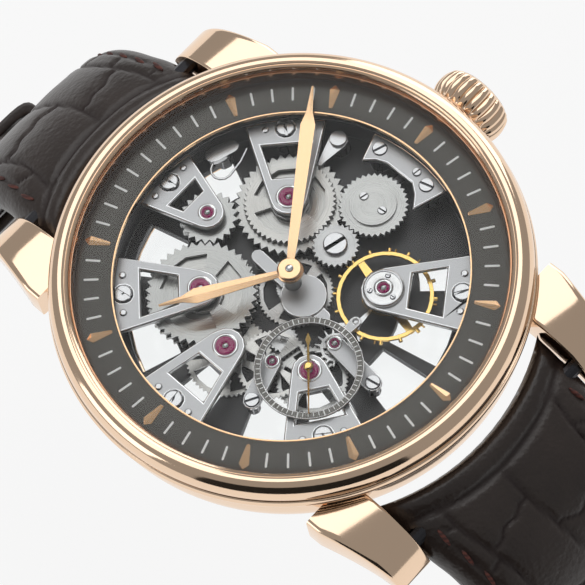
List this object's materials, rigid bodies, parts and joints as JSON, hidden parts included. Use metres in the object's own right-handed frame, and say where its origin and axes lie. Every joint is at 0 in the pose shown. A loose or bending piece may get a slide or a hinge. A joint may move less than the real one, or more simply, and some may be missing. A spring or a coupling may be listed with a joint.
{
  "type": "skeleton wristwatch",
  "caption": "Round open-worked wristwatch with a visible hand-wound movement, small seconds, fluted crown and a leather strap with a pin buckle.",
  "frame": {"origin": "middle of the outer face of the case back, which rests on the wrist", "axes": "+Z from the wrist to the dial, +X to 3 o'clock and the crown, +Y to 12 o'clock"},
  "size_m": [0.0447, 0.1232, 0.1095],
  "materials": {
    "rose_gold": "polished rose gold",
    "frosted_steel": "fine frosted, bevelled edges",
    "wheel_steel": "satin",
    "dark_plate": "dark ruthenium, straight brushed",
    "dial_grey": "circular brushed dark grey",
    "balance_gold": "satin yellow gold",
    "polished_steel": "mirror polished",
    "sapphire": "clear polished sapphire",
    "brown_leather": "semi-gloss large-scale grain"
  },
  "bodies": {
    "case": {"balance_bridge": "frosted_steel", "barrel_bridge_left": "frosted_steel", "barrel_bridge_right": "frosted_steel", "bezel": "rose_gold", "case_back_crystal": "sapphire", "case_back_ring": "rose_gold", "case_middle": "rose_gold", "centre_cap": "polished_steel", "click_screw": "polished_steel", "click_spring": "frosted_steel", "crown_wheel_bridge": "frosted_steel", "crystal": "sapphire", "dial_ring": "dial_grey", "escape_cock": "frosted_steel", "flange_ring": "rose_gold", "left_bridge": "frosted_steel", "mainplate": "dark_plate", "screw_balance_bridge": "polished_steel", "screw_barrel_bridge_left": "polished_steel", "screw_barrel_bridge_right": "polished_steel", "screw_left_bridge": "polished_steel", "screw_seconds_bridge": "polished_steel", "screw_top_bridge": "polished_steel", "seconds_bridge": "frosted_steel", "seconds_ring": "dial_grey", "spring_bar_12": "polished_steel", "spring_bar_6": "polished_steel", "third_cock": "frosted_steel", "top_bridge": "frosted_steel"},
    "winding_stem": {"winding_stem": "polished_steel"},
    "crown": {"crown": "rose_gold"},
    "crown_wheel": {"crown_wheel": "wheel_steel"},
    "winding_idler": {"winding_idler": "wheel_steel"},
    "ratchet_wheel": {"ratchet_wheel": "wheel_steel"},
    "click": {"click": "frosted_steel"},
    "fourth_wheel": {"fourth_wheel": "wheel_steel", "seconds_hand": "balance_gold"},
    "third_wheel": {"third_wheel": "wheel_steel"},
    "great_wheel": {"great_wheel": "wheel_steel"},
    "left_barrel_drum": {"left_barrel_drum": "wheel_steel"},
    "left_arbor_wheel": {"left_arbor_wheel": "wheel_steel"},
    "transfer_wheel": {"transfer_wheel": "wheel_steel"},
    "right_barrel_drum": {"right_barrel_drum": "wheel_steel"},
    "minute_idler": {"minute_idler": "wheel_steel"},
    "centre_wheel": {"centre_wheel": "wheel_steel", "minute_hand": "rose_gold"},
    "motion_wheel": {"motion_wheel": "wheel_steel"},
    "hour_wheel": {"hour_wheel": "wheel_steel", "hour_hand": "rose_gold"},
    "escape_wheel": {"escape_wheel": "wheel_steel"},
    "pallet_fork": {"pallet_fork": "polished_steel"},
    "balance_wheel": {"balance_wheel": "balance_gold"},
    "strap_12": {"strap_12": "brown_leather", "keeper_fixed": "brown_leather"},
    "strap_6": {"strap_6": "brown_leather"},
    "keeper_sliding": {"keeper_sliding": "brown_leather"},
    "buckle_frame": {"buckle_frame": "rose_gold"},
    "buckle_tang": {"buckle_tang": "rose_gold"}
  },
  "joints": [
    {"name": "crown_pull", "type": "slide", "parent": "case", "child": "winding_stem", "axis": [1, 0, 0], "range_m": [0, 0.001]},
    {"name": "crown_turn", "type": "hinge", "parent": "winding_stem", "child": "crown", "pos_m": [0.02095, 0, 0.0029], "axis": [1, 0, 0], "continuous": true},
    {"name": "crown_wheel_turn", "type": "hinge", "parent": "case", "child": "crown_wheel", "pos_m": [0.0099, -0.0002, 0.003], "axis": [0, 0, 1], "continuous": true},
    {"name": "winding_idler_turn", "type": "hinge", "parent": "case", "child": "winding_idler", "pos_m": [0.005, -0.00029, 0.003], "axis": [0, 0, 1], "continuous": true},
    {"name": "ratchet_wheel_turn", "type": "hinge", "parent": "case", "child": "ratchet_wheel", "pos_m": [0.00556, 0.00557, 0.003], "axis": [0, 0, 1], "continuous": true},
    {"name": "click_swing", "type": "hinge", "parent": "case", "child": "click", "pos_m": [0.0126, 0.0063, 0.003], "axis": [0, 0, 1], "range_deg": [-8, 0], "stiffness_Nm_per_rad": 0.00002},
    {"name": "seconds_turn", "type": "hinge", "parent": "case", "child": "fourth_wheel", "pos_m": [-0.00516, -0.0067, 0.003], "axis": [0, 0, 1], "continuous": true},
    {"name": "third_wheel_turn", "type": "hinge", "parent": "case", "child": "third_wheel", "pos_m": [-0.00635, -0.0034, 0.003], "axis": [0, 0, 1], "continuous": true},
    {"name": "great_wheel_turn", "type": "hinge", "parent": "case", "child": "great_wheel", "pos_m": [-0.00807, 0.00025, 0.003], "axis": [0, 0, 1], "continuous": true},
    {"name": "left_barrel_drum_turn", "type": "hinge", "parent": "case", "child": "left_barrel_drum", "pos_m": [-0.00556, 0.00557, 0.003], "axis": [0, 0, 1], "continuous": true},
    {"name": "left_arbor_wheel_turn", "type": "hinge", "parent": "case", "child": "left_arbor_wheel", "pos_m": [-0.00556, 0.00557, 0.003], "axis": [0, 0, 1], "continuous": true},
    {"name": "transfer_wheel_turn", "type": "hinge", "parent": "case", "child": "transfer_wheel", "pos_m": [0, 0.00995, 0.003], "axis": [0, 0, 1], "continuous": true},
    {"name": "right_barrel_drum_turn", "type": "hinge", "parent": "case", "child": "right_barrel_drum", "pos_m": [0.00556, 0.00557, 0.003], "axis": [0, 0, 1], "continuous": true},
    {"name": "minute_idler_turn", "type": "hinge", "parent": "case", "child": "minute_idler", "pos_m": [-0.00387, -0.00217, 0.003], "axis": [0, 0, 1], "continuous": true},
    {"name": "centre_wheel_turn", "type": "hinge", "parent": "case", "child": "centre_wheel", "pos_m": [0, 0, 0.003], "axis": [0, 0, 1], "continuous": true},
    {"name": "motion_wheel_turn", "type": "hinge", "parent": "case", "child": "motion_wheel", "pos_m": [-0.00049, -0.00184, 0.003], "axis": [0, 0, 1], "continuous": true},
    {"name": "hour_wheel_turn", "type": "hinge", "parent": "case", "child": "hour_wheel", "pos_m": [0, 0, 0.003], "axis": [0, 0, 1], "continuous": true},
    {"name": "escape_wheel_turn", "type": "hinge", "parent": "case", "child": "escape_wheel", "pos_m": [-0.00177, -0.00634, 0.003], "axis": [0, 0, 1], "continuous": true},
    {"name": "pallet_swing", "type": "hinge", "parent": "case", "child": "pallet_fork", "pos_m": [0.00085, -0.00635, 0.003], "axis": [0, 0, 1], "range_deg": [-5, 5]},
    {"name": "balance_swing", "type": "hinge", "parent": "case", "child": "balance_wheel", "pos_m": [0.00435, -0.0065, 0.003], "axis": [0, 0, 1], "range_deg": [-270, 270], "stiffness_Nm_per_rad": 0.0000006},
    {"name": "strap_12_hinge", "type": "hinge", "parent": "case", "child": "strap_12", "pos_m": [0, 0.0224, 0.00165], "axis": [1, 0, 0], "range_deg": [-12, 12]},
    {"name": "strap_6_hinge", "type": "hinge", "parent": "case", "child": "strap_6", "pos_m": [0, -0.0224, 0.00165], "axis": [1, 0, 0], "range_deg": [-12, 12]},
    {"name": "keeper_slide", "type": "slide", "parent": "strap_12", "child": "keeper_sliding", "axis": [0, 0.3907, -0.9205], "range_m": [-0.005, 0.007]},
    {"name": "buckle_hinge", "type": "hinge", "parent": "strap_12", "child": "buckle_frame", "pos_m": [0, 0.05674, -0.06321], "axis": [1, 0, 0], "range_deg": [-60, 0]},
    {"name": "tang_hinge", "type": "hinge", "parent": "strap_12", "child": "buckle_tang", "pos_m": [0, 0.05674, -0.06321], "axis": [1, 0, 0], "range_deg": [0, 75]}
  ],
  "couplings": [
    {"joint": "third_wheel_turn", "follows": "seconds_turn", "ratio": -0.13333},
    {"joint": "great_wheel_turn", "follows": "seconds_turn", "ratio": 0.014815},
    {"joint": "left_barrel_drum_turn", "follows": "seconds_turn", "ratio": -0.0037987},
    {"joint": "minute_idler_turn", "follows": "seconds_turn", "ratio": -0.044444},
    {"joint": "centre_wheel_turn", "follows": "seconds_turn", "ratio": 0.016667},
    {"joint": "motion_wheel_turn", "follows": "seconds_turn", "ratio": -0.0055556},
    {"joint": "hour_wheel_turn", "follows": "seconds_turn", "ratio": 0.0013889},
    {"joint": "escape_wheel_turn", "follows": "seconds_turn", "ratio": -8},
    {"joint": "left_arbor_wheel_turn", "follows": "seconds_turn", "ratio": -0.0018993},
    {"joint": "transfer_wheel_turn", "follows": "seconds_turn", "ratio": 0.0037037},
    {"joint": "right_barrel_drum_turn", "follows": "seconds_turn", "ratio": -0.0018993},
    {"joint": "crown_wheel_turn", "follows": "crown_turn", "ratio": -0.33333},
    {"joint": "winding_idler_turn", "follows": "crown_turn", "ratio": 0.5},
    {"joint": "ratchet_wheel_turn", "follows": "crown_turn", "ratio": -0.25}
  ]
}
